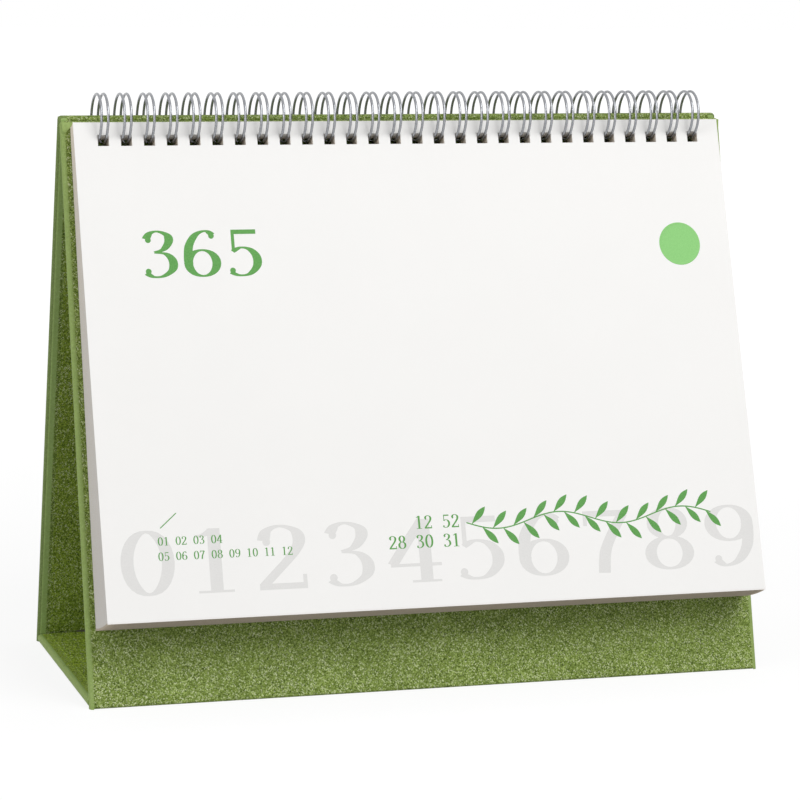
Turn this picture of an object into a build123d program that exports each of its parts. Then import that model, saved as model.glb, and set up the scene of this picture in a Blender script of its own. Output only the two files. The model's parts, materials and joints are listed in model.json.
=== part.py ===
from build123d import *
from math import asin, atan2, cos, degrees, hypot, pi, radians, sin, sqrt, tan
import os

# Desk calendar: a paper-covered board easel that folds at its base, with a fan of card
# leaves hung on a twin-loop binding wire along its top. Lengths are millimetres, angles
# degrees. X runs left to right as the reader sees it, Y to the back and Z up.

# Easel
EASEL_WIDTH = 257.0
EASEL_DEPTH = 102.3
FRONT_LENGTH = 212.0
FRONT_TILT = 15.7
BACK_RISE = 1.6
BACK_REACH = 7.63
BOARD_THICKNESS = 2.6
PAPER_THICKNESS = 0.3
LINING_THICKNESS = 0.25
EDGE_ROUND = 1.5
TOP_ROUND = 1.4
TURN_IN = 15.0
LINING_INSET = 3.0
LINING_FOOT = 9.0
CREASE_LAP = 2.5
CREASE_ROUND = 0.9
CREASE_GAP = 0.35
MID_CREASE_GAP = 4.2
SEAM_GAP = 0.05

# Binding wire
LOOP_PITCH = 25.4 / 3
LOOP_RADIUS = 9.0
LOOP_RISE = 0.6
LOOP_STAND_OFF = 1.7
WIRE_DIAMETER = 1.0
TWIN_SPACING = 2.44
SPINE_BEND = 1.1
SPINE_ANGLE = 21.0
TIP_ANGLE = 45.5
LOOP_PARTS = 6
GAP_STATIONS = 300

# Leaves
LEAF_COUNT = 16
LEAF_SIDE_MARGIN = 3.5
LEAF_HEIGHT = 181.5
LEAF_THICKNESS = 0.28
LEAF_PITCH = 0.30
LEAF_BOARD_GAP = 0.35
COVER_TILT = 20.7
HOLE_SIZE = 4.1
HOLE_FROM_TOP = 6.8
HOLE_FROM_SIDE = 10.5
HOLE_HANG = 1.05
BACK_SLOT_HEIGHT = 5.8

# Sizes that follow
PANEL = BOARD_THICKNESS + 2 * PAPER_THICKNESS
FLAT_HALF = EASEL_WIDTH / 2 - EDGE_ROUND
WIRE_RADIUS = WIRE_DIAMETER / 2
LEAF_WIDTH = EASEL_WIDTH - 2 * LEAF_SIDE_MARGIN
LOOP_COUNT = int((LEAF_WIDTH - 2 * HOLE_FROM_SIDE) / LOOP_PITCH) + 1
PUNCH_STROKE = 3 * PANEL
FOOT_ROOM = 4 * PANEL
OWN_BEND = 3 * WIRE_DIAMETER


def along(tilt):
    """Unit vector (y, z) up a face that leans back by tilt degrees."""
    return sin(radians(tilt)), cos(radians(tilt))


def outward(tilt):
    """Unit vector (y, z) out of the front of a face that leans back by tilt degrees."""
    return -cos(radians(tilt)), sin(radians(tilt))


def step(spot, way, length):
    """The point (y, z) that lies length along way from spot."""
    return spot[0] + way[0] * length, spot[1] + way[1] * length


def leaf_reach(number):
    """Distance of a leaf's middle plane from the loop's centre; leaf 0 lies on the easel."""
    return LEAF_BOARD_GAP - LOOP_STAND_OFF + LEAF_THICKNESS / 2 + number * LEAF_PITCH


def leaf_tilt(number):
    """Lean of a leaf in the fan, from the easel's own lean to the cover's."""
    return FRONT_TILT + (COVER_TILT - FRONT_TILT) * number / (LEAF_COUNT - 1)


def leaf_hole_depth(number):
    """Distance down the leaf from the foot of the loop's centre to its row of holes."""
    return sqrt(LOOP_RADIUS**2 - leaf_reach(number) ** 2) + HOLE_HANG


# Side view, first with the easel's front bottom edge at zero
FRONT_UP = along(FRONT_TILT)
FRONT_OUT = outward(FRONT_TILT)
loop_up = FRONT_LENGTH + LOOP_RISE
loop_from_edge = step(step((0, 0), FRONT_UP, loop_up), FRONT_OUT, LOOP_STAND_OFF)

# The cover leaf's lower edge is the foremost point, and the easel's back edge the rearmost
cover_number = LEAF_COUNT - 1
cover_down = tuple(-part for part in along(COVER_TILT))
cover_low = leaf_hole_depth(cover_number) - HOLE_FROM_TOP + LEAF_HEIGHT
cover_face = step(loop_from_edge, outward(COVER_TILT), leaf_reach(cover_number) + LEAF_THICKNESS / 2)
foremost = step(cover_face, cover_down, cover_low)[0]
FRONT_EDGE = (-(foremost + EASEL_DEPTH) / 2, 0.0)
BACK_EDGE = (FRONT_EDGE[0] + EASEL_DEPTH, 0.0)
LOOP_CENTRE = (FRONT_EDGE[0] + loop_from_edge[0], loop_from_edge[1])

# The back panel leans so that its outer face passes the loop's centre at its set reach
back_run = BACK_EDGE[0] - LOOP_CENTRE[0]
back_line = hypot(back_run, LOOP_CENTRE[1])
BACK_TILT = degrees(atan2(back_run, LOOP_CENTRE[1]) - asin(BACK_REACH / back_line))
BACK_UP = along(-BACK_TILT)
BACK_OUT = tuple(-part for part in outward(-BACK_TILT))
BACK_LENGTH = (FRONT_LENGTH * FRONT_UP[1] + BACK_RISE) / BACK_UP[1]

# Fold lines of the easel, on the inner faces of its boards
front_fold_y = FRONT_EDGE[0] + PANEL / FRONT_UP[1] + PANEL * FRONT_UP[0] / FRONT_UP[1]
rear_fold_y = BACK_EDGE[0] - PANEL / BACK_UP[1] + PANEL * BACK_UP[0] / BACK_UP[1]
FRONT_FOLD = (front_fold_y, PANEL)
REAR_FOLD = (rear_fold_y, PANEL)
BASE_FRONT = front_fold_y + CREASE_GAP
BASE_REAR = rear_fold_y - CREASE_GAP
BASE_MIDDLE = (front_fold_y + rear_fold_y) / 2
MID_FRONT = BASE_MIDDLE - MID_CREASE_GAP / 2
MID_REAR = BASE_MIDDLE + MID_CREASE_GAP / 2

os.makedirs("parts", exist_ok=True)

# Planes of the four panels: origin on the outer face, x along the easel, y up the panel
FRONT_PLANE = Plane(origin=(0, *FRONT_EDGE), x_dir=(1, 0, 0), z_dir=(0, *FRONT_OUT))
BACK_PLANE = Plane(origin=(0, *BACK_EDGE), x_dir=(-1, 0, 0), z_dir=(0, *BACK_OUT))
BASE_FRONT_PLANE = Plane(origin=(0, BASE_FRONT, 0), x_dir=(-1, 0, 0), z_dir=(0, 0, -1))
BASE_REAR_PLANE = Plane(origin=(0, MID_REAR, 0), x_dir=(-1, 0, 0), z_dir=(0, 0, -1))
BASE_FRONT_LENGTH = MID_FRONT - BASE_FRONT
BASE_REAR_LENGTH = BASE_REAR - MID_REAR


def side_plane(plane):
    """Plane across a panel: x up the panel, y out of its outer face."""
    return Plane(origin=plane.origin, x_dir=plane.y_dir, z_dir=plane.x_dir)


def floor_cut(plane, depth, height):
    """Distance up the panel to the level height, at this depth below its outer face."""
    return (height + depth * plane.z_dir.Z) / plane.y_dir.Z


def standing_outline(plane, inset, foot, length):
    """Side outline of a leaning panel whose foot is cut level with the table."""
    skin = -inset
    back = inset - PANEL
    return [
        (floor_cut(plane, inset, foot), skin),
        (length - inset, skin),
        (length - inset, back),
        (floor_cut(plane, PANEL - inset, foot), back),
    ]


def base_outline(inset, start, end, crease, slant):
    """Side outline of a base panel from start to end. Its lower corner is bevelled at the
    middle crease, and its other end leans with the standing panel that it meets."""
    skin = -inset
    back = inset - PANEL
    lean = (PANEL - inset) * tan(radians(slant))
    bevel = PANEL - inset
    if crease == "end":
        return [(start - lean, skin), (end - bevel, skin), (end, back), (start - inset * lean / bevel, back)]
    return [(start + bevel, skin), (end + lean, skin), (end + inset * lean / bevel, back), (start, back)]


def drawn_out_outline(inset, start, end):
    """Side outline of a base board drawn out past both its ends."""
    return [(start, -inset), (end, -inset), (end, inset - PANEL), (start, inset - PANEL)]


def panel_blank(plane, inset, outline, round_top, foot_round=0):
    """A panel taken in by inset all round: rounded ends, and a rounded top where it has one."""
    lengthwise = Axis(plane.origin, plane.y_dir)
    with BuildPart() as blank:
        with BuildSketch(side_plane(plane)):
            Polygon(*outline, align=None)
            if foot_round:
                fillet(vertices().sort_by_distance(outline[0])[0], foot_round)
        extrude(amount=EASEL_WIDTH / 2 - inset, both=True)
        fillet(edges().filter_by(lengthwise), EDGE_ROUND - inset)
        if round_top:
            top = faces().sort_by(lengthwise)[-1]
            fillet(top.edges(), TOP_ROUND - inset)
    return blank.part


def punch(plane, height, centre_up):
    """A tool that punches the row of holes through a panel."""
    with BuildPart() as tool:
        with BuildSketch(plane.offset(PANEL)):
            with Locations((0, centre_up)):
                with GridLocations(LOOP_PITCH, 1, LOOP_COUNT, 1):
                    Rectangle(HOLE_SIZE, height)
        extrude(amount=-PUNCH_STROKE)
    return tool.part


def face_block(plane, low, high, half_width, depth_low, depth_high):
    """A block on a panel from low to high along it, between two depths below its outer face."""
    with BuildPart() as block:
        with BuildSketch(plane.offset(-depth_high)):
            with Locations((0, (low + high) / 2)):
                Rectangle(2 * half_width, high - low)
        extrude(amount=depth_high - depth_low)
    return block.part


def foot_slab(centre_y):
    """The room of the crease strip under a standing panel's foot."""
    with BuildPart() as slab:
        with BuildSketch(Plane.XY.offset(PAPER_THICKNESS)):
            with Locations((0, centre_y)):
                Rectangle(2 * FLAT_HALF, FOOT_ROOM)
        extrude(amount=-PANEL)
    return slab.part


# Where the round loops pass through the two leaning panels
FRONT_HOLE_UP = loop_up - sqrt(LOOP_RADIUS**2 - (PANEL / 2 + LOOP_STAND_OFF) ** 2)
back_foot_up = LOOP_CENTRE[1] * BACK_UP[1] - back_run * BACK_UP[0]
back_cross_outer = sqrt(LOOP_RADIUS**2 - BACK_REACH**2)
back_cross_inner = sqrt(LOOP_RADIUS**2 - (BACK_REACH - PANEL) ** 2)
BACK_HOLE_UP = back_foot_up - (back_cross_outer + back_cross_inner) / 2

front_punch = punch(FRONT_PLANE, HOLE_SIZE, FRONT_HOLE_UP)
back_punch = punch(BACK_PLANE, BACK_SLOT_HEIGHT, BACK_HOLE_UP)

# Each panel: plane, length, outlines of its skin, its board and its board drawn out, and its punch
panels = {
    "front": (
        FRONT_PLANE,
        FRONT_LENGTH,
        standing_outline(FRONT_PLANE, 0, 0, FRONT_LENGTH),
        standing_outline(FRONT_PLANE, PAPER_THICKNESS, PAPER_THICKNESS, FRONT_LENGTH),
        standing_outline(FRONT_PLANE, PAPER_THICKNESS, -PANEL, FRONT_LENGTH),
        front_punch,
    ),
    "back": (
        BACK_PLANE,
        BACK_LENGTH,
        standing_outline(BACK_PLANE, 0, 0, BACK_LENGTH),
        standing_outline(BACK_PLANE, PAPER_THICKNESS, PAPER_THICKNESS, BACK_LENGTH),
        standing_outline(BACK_PLANE, PAPER_THICKNESS, -PANEL, BACK_LENGTH),
        back_punch,
    ),
    "base_front": (
        BASE_FRONT_PLANE,
        BASE_FRONT_LENGTH,
        base_outline(0, 0, BASE_FRONT_LENGTH, "end", FRONT_TILT),
        base_outline(PAPER_THICKNESS, 0, BASE_FRONT_LENGTH, "end", FRONT_TILT),
        drawn_out_outline(PAPER_THICKNESS, -PANEL, BASE_FRONT_LENGTH + PANEL),
        None,
    ),
    "base_rear": (
        BASE_REAR_PLANE,
        BASE_REAR_LENGTH,
        base_outline(0, 0, BASE_REAR_LENGTH, "start", BACK_TILT),
        base_outline(PAPER_THICKNESS, 0, BASE_REAR_LENGTH, "start", BACK_TILT),
        drawn_out_outline(PAPER_THICKNESS, -PANEL, BASE_REAR_LENGTH + PANEL),
        None,
    ),
}

for name, (plane, length, skin, core, drawn_out, holes) in panels.items():
    standing = holes is not None

    # Greyboard core
    foot_round = CREASE_ROUND - PAPER_THICKNESS if standing else 0
    board_blank = panel_blank(plane, PAPER_THICKNESS, core, standing, foot_round)
    with BuildPart() as board:
        add(board_blank)
        if standing:
            add(holes, mode=Mode.SUBTRACT)
    board.part.label = f"{name}_board"
    export_step(board.part, f"parts/{name}_board.step")

    # Cover paper: over the outer face and the edges, and turned in on the inner face
    window_top = length - TURN_IN if standing else length + PANEL
    window_half = EASEL_WIDTH / 2 - TURN_IN
    window = face_block(plane, -PANEL, window_top, window_half, PANEL - PAPER_THICKNESS, 2 * PANEL)
    wrapped = panel_blank(plane, 0, skin, standing)
    cuts = [panel_blank(plane, PAPER_THICKNESS, drawn_out, standing), window]
    if standing:
        lap = face_block(plane, -PANEL, CREASE_LAP, FLAT_HALF, -PANEL, PAPER_THICKNESS)
        strip_room = foot_slab(plane.origin.Y)
        cuts += [lap, strip_room, holes]
    with BuildPart() as cover_paper:
        add(wrapped)
        for cut in cuts:
            add(cut, mode=Mode.SUBTRACT)
    cover_paper.part.label = f"{name}_cover_paper"
    export_step(cover_paper.part, f"parts/{name}_cover_paper.step")

    # Lining: pasted over the turn-ins, and sunk between them onto the board
    lining_low = LINING_FOOT if standing else LINING_INSET
    lining_high = length - LINING_INSET
    lining_half = EASEL_WIDTH / 2 - EDGE_ROUND - LINING_INSET
    sunk_high = window_top if standing else lining_high
    face = face_block(plane, lining_low, lining_high, lining_half, PANEL, PANEL + LINING_THICKNESS)
    sunk = face_block(plane, lining_low, sunk_high, window_half, PANEL - PAPER_THICKNESS, PANEL)
    with BuildPart() as lining:
        add(face)
        add(sunk)
        if standing:
            add(holes, mode=Mode.SUBTRACT)
    lining.part.label = f"{name}_lining"
    export_step(lining.part, f"parts/{name}_lining.step")


def crease_strip(plane, inward_y, base_end):
    """Folded paper strip from a standing panel's outer face, round its foot, to the base."""
    heel = (plane.origin.Y, plane.origin.Z)
    up = (plane.y_dir.Y, plane.y_dir.Z)
    inward = (-plane.z_dir.Y, -plane.z_dir.Z)
    lap_top = step(heel, up, CREASE_LAP)
    lap_back = step(lap_top, inward, PAPER_THICKNESS)
    inner_y = lap_back[0] - (lap_back[1] - PAPER_THICKNESS) * up[0] / up[1]
    inner_heel = (inner_y, PAPER_THICKNESS)
    end_y = base_end - inward_y * (SEAM_GAP + PANEL * abs(up[0] / up[1]))
    with BuildPart() as strip:
        with BuildSketch(Plane.YZ):
            Polygon(lap_top, heel, (end_y, 0), (end_y, PAPER_THICKNESS), inner_heel, lap_back, align=None)
            fillet(vertices().sort_by_distance(heel)[0], CREASE_ROUND)
            fillet(vertices().sort_by_distance(inner_heel)[0], CREASE_ROUND - PAPER_THICKNESS)
        extrude(amount=FLAT_HALF, both=True)
    return strip.part


crease_strips = {
    "front_crease": crease_strip(FRONT_PLANE, 1, BASE_FRONT),
    "rear_crease": crease_strip(BACK_PLANE, -1, BASE_REAR),
}
for name, strip in crease_strips.items():
    with BuildPart() as crease:
        add(strip)
    crease.part.label = name
    export_step(crease.part, f"parts/{name}.step")

# Middle crease of the base: the cover paper alone, from one bevelled board to the other
mid_low = MID_FRONT - PANEL + PAPER_THICKNESS
mid_high = MID_REAR + PANEL - PAPER_THICKNESS - SEAM_GAP
with BuildPart() as mid_crease:
    with BuildSketch(Plane.XY):
        with Locations((0, (mid_low + mid_high) / 2)):
            Rectangle(2 * FLAT_HALF, mid_high - mid_low)
    extrude(amount=PAPER_THICKNESS)
mid_crease.part.label = "mid_crease"
export_step(mid_crease.part, "parts/mid_crease.step")

# Leaves: the sheet at the back of the fan is 0, and the cover is the last
leaf_names = ["back_leaf", "planner_leaf"]
leaf_names += [f"month_leaf_{LEAF_COUNT - 2 - k:02d}" for k in range(2, LEAF_COUNT - 2)]
leaf_names += ["title_leaf", "cover_leaf"]
for number, name in enumerate(leaf_names):
    face_out = outward(leaf_tilt(number))
    foot = step(LOOP_CENTRE, face_out, leaf_reach(number) - LEAF_THICKNESS / 2)
    leaf_plane = Plane(origin=(0, *foot), x_dir=(1, 0, 0), z_dir=(0, *face_out))
    hole_down = leaf_hole_depth(number)
    middle_down = hole_down - HOLE_FROM_TOP + LEAF_HEIGHT / 2
    with BuildPart() as leaf:
        with BuildSketch(leaf_plane):
            with Locations((0, -middle_down)):
                Rectangle(LEAF_WIDTH, LEAF_HEIGHT)
            with Locations((0, -hole_down)):
                with GridLocations(LOOP_PITCH, 1, LOOP_COUNT, 1):
                    Rectangle(HOLE_SIZE, HOLE_SIZE, mode=Mode.SUBTRACT)
        extrude(amount=LEAF_THICKNESS)
    leaf.part.label = name
    export_step(leaf.part, f"parts/{name}.step")


def on_loop(angle):
    """Point (y, z) of the loop at this angle from straight down, towards the back."""
    turn = radians(angle)
    return LOOP_CENTRE[0] + LOOP_RADIUS * sin(turn), LOOP_CENTRE[1] - LOOP_RADIUS * cos(turn)


def back_along_loop(angle):
    """Unit vector (y, z) along the loop at this angle, towards the back."""
    return cos(radians(angle)), sin(radians(angle))


# One twin loop: half a spine bar, a wire round to the tip, the tip's bend, and back again
leg = TWIN_SPACING / 2
spine = step(on_loop(SPINE_ANGLE), back_along_loop(SPINE_ANGLE), SPINE_BEND)
tip = step(on_loop(TIP_ANGLE), back_along_loop(TIP_ANGLE), -leg)
turn_total = 360 - (TIP_ANGLE - SPINE_ANGLE)
loop_stops = [SPINE_ANGLE - turn_total * share / LOOP_PARTS for share in range(LOOP_PARTS + 1)]
arc_starts = range(0, LOOP_PARTS, 2)
bend_share = 1 - cos(radians(45))
bend_spot = step(spine, back_along_loop(SPINE_ANGLE), -SPINE_BEND * bend_share)


def loop_arc(x, first):
    """The third of a loop that starts at stop number first, on the wire at x."""
    ends = [(x, *on_loop(loop_stops[first + share])) for share in range(3)]
    return ThreePointArc(*ends)


with BuildPart() as twin_loop:
    with BuildLine() as path:
        Line((-LOOP_PITCH / 2, *spine), (-leg - SPINE_BEND, *spine))
        bend_low = (-leg - SPINE_BEND * bend_share, *bend_spot)
        ThreePointArc((-leg - SPINE_BEND, *spine), bend_low, (-leg, *on_loop(SPINE_ANGLE)))
        for first in arc_starts:
            loop_arc(-leg, first)
        ThreePointArc((-leg, *on_loop(TIP_ANGLE)), (0, *tip), (leg, *on_loop(TIP_ANGLE)))
        for first in reversed(arc_starts):
            loop_arc(leg, first)
        bend_high = (leg + SPINE_BEND * bend_share, *bend_spot)
        ThreePointArc((leg, *on_loop(SPINE_ANGLE)), bend_high, (leg + SPINE_BEND, *spine))
        Line((leg + SPINE_BEND, *spine), (LOOP_PITCH / 2, *spine))
    with BuildSketch(Plane(origin=(-LOOP_PITCH / 2, *spine), z_dir=(1, 0, 0))):
        Circle(WIRE_RADIUS)
    sweep()
wire_length = path.wire().length
stations = [path.wire() @ (share / GAP_STATIONS) for share in range(GAP_STATIONS + 1)]
own_bend = int(OWN_BEND / wire_length * GAP_STATIONS) + 1
least_gap = LOOP_PITCH
for number, spot in enumerate(stations):
    for other in stations[number + own_bend:]:
        least_gap = min(least_gap, (other - spot).length - WIRE_DIAMETER)
print("twin loop volume share", twin_loop.part.volume / (pi * WIRE_RADIUS**2 * wire_length))
print("least gap of the wire to itself", least_gap)

with BuildPart() as binding_wire:
    with GridLocations(LOOP_PITCH, 1, LOOP_COUNT, 1):
        add(twin_loop.part)
binding_wire.part.label = "binding_wire"
export_step(binding_wire.part, "parts/binding_wire.step")
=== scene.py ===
import bmesh
import bpy
import json
import math
import random
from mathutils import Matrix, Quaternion, Vector


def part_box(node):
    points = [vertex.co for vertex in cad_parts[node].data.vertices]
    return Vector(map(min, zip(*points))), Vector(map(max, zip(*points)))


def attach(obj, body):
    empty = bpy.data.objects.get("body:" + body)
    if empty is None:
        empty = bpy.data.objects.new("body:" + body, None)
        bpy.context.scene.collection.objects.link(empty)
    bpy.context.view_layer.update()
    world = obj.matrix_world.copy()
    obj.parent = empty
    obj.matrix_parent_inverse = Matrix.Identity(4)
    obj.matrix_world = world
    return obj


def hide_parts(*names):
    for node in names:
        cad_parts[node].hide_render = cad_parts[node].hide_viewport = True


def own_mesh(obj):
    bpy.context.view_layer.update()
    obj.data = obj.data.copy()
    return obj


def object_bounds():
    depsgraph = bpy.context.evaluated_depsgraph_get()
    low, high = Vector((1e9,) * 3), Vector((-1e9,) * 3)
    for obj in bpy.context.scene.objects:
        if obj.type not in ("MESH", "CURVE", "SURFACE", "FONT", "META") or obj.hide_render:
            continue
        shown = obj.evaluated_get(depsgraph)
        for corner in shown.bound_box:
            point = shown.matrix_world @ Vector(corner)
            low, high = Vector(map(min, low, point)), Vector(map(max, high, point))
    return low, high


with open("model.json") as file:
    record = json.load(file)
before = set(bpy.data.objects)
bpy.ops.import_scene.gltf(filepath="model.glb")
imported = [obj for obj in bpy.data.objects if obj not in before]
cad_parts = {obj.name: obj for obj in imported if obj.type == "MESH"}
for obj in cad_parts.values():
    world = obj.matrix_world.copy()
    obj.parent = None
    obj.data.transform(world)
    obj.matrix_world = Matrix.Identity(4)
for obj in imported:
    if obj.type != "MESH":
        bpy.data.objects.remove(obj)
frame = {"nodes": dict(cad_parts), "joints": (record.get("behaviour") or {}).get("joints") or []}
cad_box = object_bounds()

# Greyboard cores: four panels of pressed waste-paper board, cut square and punched along the
# tops of the two that stand. Of these two only the punched walls show, inside the holes.
MM = 0.001
NOISE_SPAN = (0.3, 0.7)
BOARD_FIBRE = 0.35 * MM
STANDING = ("front", "back")
nodes = frame["nodes"]


def paint(red, green, blue):
    """An sRGB colour, 0 to 255 a channel, as the linear colour that a shader takes."""
    shares = [channel / 255 for channel in (red, green, blue)]
    linear = [s / 12.92 if s <= 0.04045 else ((s + 0.055) / 1.055) ** 2.4 for s in shares]
    return (*linear, 1.0)


def mottle(dark, pale):
    """Ramp stops for a finish that clouds between two colours."""
    return list(zip(NOISE_SPAN, (paint(*dark), paint(*pale))))


class Nodes:
    """The shader nodes of a material or of the world."""

    def __init__(self, tree):
        self.tree = tree

    def feed(self, socket, value):
        """Sets a socket, or links it where the value is another node's output."""
        if isinstance(value, bpy.types.NodeSocket):
            self.tree.links.new(value, socket)
        else:
            socket.default_value = value

    def add(self, kind, inputs=None, **settings):
        """A new node with its settings and inputs."""
        made = self.tree.nodes.new("ShaderNode" + kind)
        for setting, value in settings.items():
            setattr(made, setting, value)
        for socket, value in (inputs or {}).items():
            self.feed(made.inputs[socket], value)
        return made

    def math(self, operation, first, second=0.0):
        """One sum, product or the like of two values."""
        return self.add("Math", {0: first, 1: second}, operation=operation).outputs[0]


class Finish(Nodes):
    """A material in the making: its nodes, its surface shader and its places in metres."""

    def __init__(self, name, **sockets):
        self.material = bpy.data.materials.new(name)
        self.material.use_nodes = True
        super().__init__(self.material.node_tree)
        self.surface = self.tree.nodes["Principled BSDF"]
        self.coordinates = self.add("TexCoord")
        self.place = self.coordinates.outputs["Object"]
        for socket, value in sockets.items():
            self.give(socket.replace("_", " "), value)

    def give(self, socket, value):
        """Feeds one of the surface's own sockets."""
        self.feed(self.surface.inputs[socket], value)

    def spread(self, value, low, high, to_low=0.0, to_high=1.0):
        """A smooth step of value from low to high."""
        limits = {"Value": value, "From Min": low, "From Max": high, "To Min": to_low, "To Max": to_high}
        return self.add("MapRange", limits, interpolation_type="SMOOTHSTEP").outputs["Result"]

    def mix(self, share, first, second, blend="MIX"):
        """Two colours mixed by share."""
        inputs = {0: share, 6: first, 7: second}
        return self.add("Mix", inputs, data_type="RGBA", blend_type=blend).outputs[2]

    def ramp(self, value, stops):
        """A colour ramp with a stop at each (place, colour)."""
        made = self.add("ValToRGB", {"Fac": value})
        elements = made.color_ramp.elements
        while len(elements) < len(stops):
            elements.new(0.5)
        for element, (place, colour) in zip(elements, stops):
            element.position = place
            element.color = colour
        return made.outputs["Color"]

    def noise(self, size, detail=2.0, roughness=0.5):
        """Cloudy noise whose patches measure size metres."""
        inputs = {"Vector": self.place, "Scale": 1 / size, "Detail": detail, "Roughness": roughness}
        return self.add("TexNoise", inputs).outputs["Fac"]

    def bump(self, height, depth, strength):
        """A bump of that depth in metres, fed to the surface."""
        inputs = {"Height": height, "Distance": depth, "Strength": strength}
        self.give("Normal", self.add("Bump", inputs).outputs["Normal"])


def dress(node, material):
    """Gives a carried-over solid its finish."""
    nodes[node].data.materials.clear()
    nodes[node].data.materials.append(material)


greyboard = Finish("greyboard", Roughness=0.9)
board_fibres = greyboard.noise(BOARD_FIBRE, detail=4.0, roughness=0.7)
board_tones = mottle((118, 112, 102), (152, 146, 134))
greyboard.give("Base Color", greyboard.ramp(board_fibres, board_tones))
greyboard.bump(board_fibres, depth=0.06 * MM, strength=0.6)
for panel in STANDING:
    dress(f"{panel}_board", greyboard.material)

# Covering paper: green paper full of fine glitter flakes, glued over the outer faces and folded
# round the ends and tops of the boards. A lining of the same paper is pasted on the inner faces,
# and round the cut ends of the base's boards.
FLAKE = 0.36 * MM
FINE_FLAKE = 0.26 * MM
FLAKE_STOPS = (0.10, 0.40, 0.65, 0.95)
BASE_FLAKE_REACH = 3.0
STREAK = 0.24 * MM
STREAK_LENGTH = 0.72 * MM
STREAK_LEANS = (-0.7, 0.6)
# Which flakes and short strokes carry painted glints, and how strongly.
SHINING_STREAKS = (0.92, 1.0)
SHINING_FLAKES = (0.94, 0.98)
FLAKE_SHINE = 0.8
GLINT_COVER = 0.78
PAPER_CLOUD = 16 * MM
CLOUD_SHADES = (0.92, 1.06)
PAPER_GLOSS = 0.2
PAPER_ROUGHNESS = (0.62, 0.35)
BAND = 1.75 * MM
INNER_BAND = 3.2 * MM
BAND_FADE = (-0.2 * MM, 0.4 * MM)
BAND_COVER = 0.85
DRAWN_FIBRE = 0.9 * MM
NO_SIDE = (0, 0, 0)
FACING_IN = (0.5, 0.6)
FLAT_IN = (0.88, 0.94)
easel_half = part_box("front_cover_paper")[1].x


def flake_ramp(*colours):
    """Ramp stops for glitter flakes, from the darkest to the palest."""
    return [(stop, paint(*colour)) for stop, colour in zip(FLAKE_STOPS, colours)]


flake_tones = flake_ramp((46, 64, 8), (104, 125, 47), (135, 156, 74), (186, 205, 124))
lining_tones = flake_ramp((56, 75, 6), (108, 130, 36), (140, 162, 58), (190, 209, 104))
# The base's lining: the lining's flakes, made paler as painted light on the base's top.
base_lining_and_light_tones = flake_ramp((66, 88, 6), (126, 152, 37), (163, 189, 60), (222, 244, 107))
# Painted glint: a pale colour for the flakes that stands in for their sparkle.
painted_glint_tone = paint(228, 236, 190)
# Smooth bands round the ends: drawn paper with less glitter, paler also as painted light.
smooth_band_and_light_tones = mottle((142, 164, 93), (156, 179, 106))
# The turned-in margin on the inner side, paler still as painted light.
inner_band_and_light_tones = mottle((152, 178, 106), (166, 192, 120))
# The back board: painted shade on its ends, painted light on its turned-in margin.
back_band_and_shade_tones = mottle((106, 125, 70), (118, 138, 80))
back_inner_and_light_tones = mottle((162, 189, 114), (176, 203, 128))


def random_cells(paper, place, scale):
    """Random cells, and the three numbers drawn for each."""
    cells = paper.add("TexVoronoi", {"Vector": place, "Scale": scale})
    return cells, paper.add("SeparateColor", {"Color": cells.outputs["Color"]}).outputs


def glints(paper, flake_draws):
    """How much painted glint each flake and each short stroke takes in its colour."""
    bright = paper.spread(flake_draws["Green"], *SHINING_FLAKES, 0.0, FLAKE_SHINE)
    stroke_size = (STREAK, STREAK, STREAK_LENGTH)
    for lean in STREAK_LEANS:
        leaning = {"Vector": paper.place, "Rotation": (0, lean, 0), "Scale": stroke_size}
        strokes = paper.add("Mapping", leaning, vector_type="TEXTURE").outputs["Vector"]
        stroke_draws = random_cells(paper, strokes, 1.0)[1]
        shine = paper.spread(stroke_draws["Blue"], *SHINING_STREAKS)
        bright = paper.math("MAXIMUM", bright, shine)
    return bright


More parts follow.
